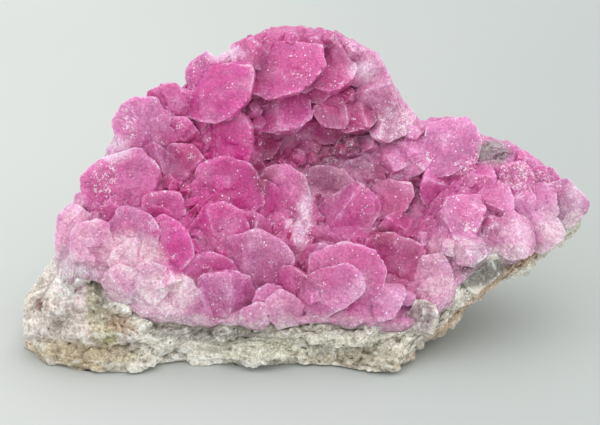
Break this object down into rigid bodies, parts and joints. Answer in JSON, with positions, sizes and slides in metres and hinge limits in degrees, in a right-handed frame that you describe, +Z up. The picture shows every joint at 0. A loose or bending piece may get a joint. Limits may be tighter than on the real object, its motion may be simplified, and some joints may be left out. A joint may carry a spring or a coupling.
{
  "type": "cobaltoan calcite specimen",
  "caption": "Hand-sized mineral specimen: a crust of pink translucent calcite crystals over the sloping face of a grey-white host rock that stands on a flat sole.",
  "frame": {"origin": "middle of the flat underside of the host rock, level with the surface it stands on", "axes": "+X along the specimen towards its overhanging arm, +Y away from the crystal face towards the back, +Z up out of the flat underside"},
  "size_m": [0.0559, 0.0272, 0.0283],
  "materials": {
    "host_rock": "rough broken rock, grey-white with tan and green stains",
    "pink_calcite": "translucent frosted pink calcite crystals"
  },
  "bodies": {
    "root": {"matrix": "host_rock", "calcite_druse": "pink_calcite"}
  },
  "joints": []
}
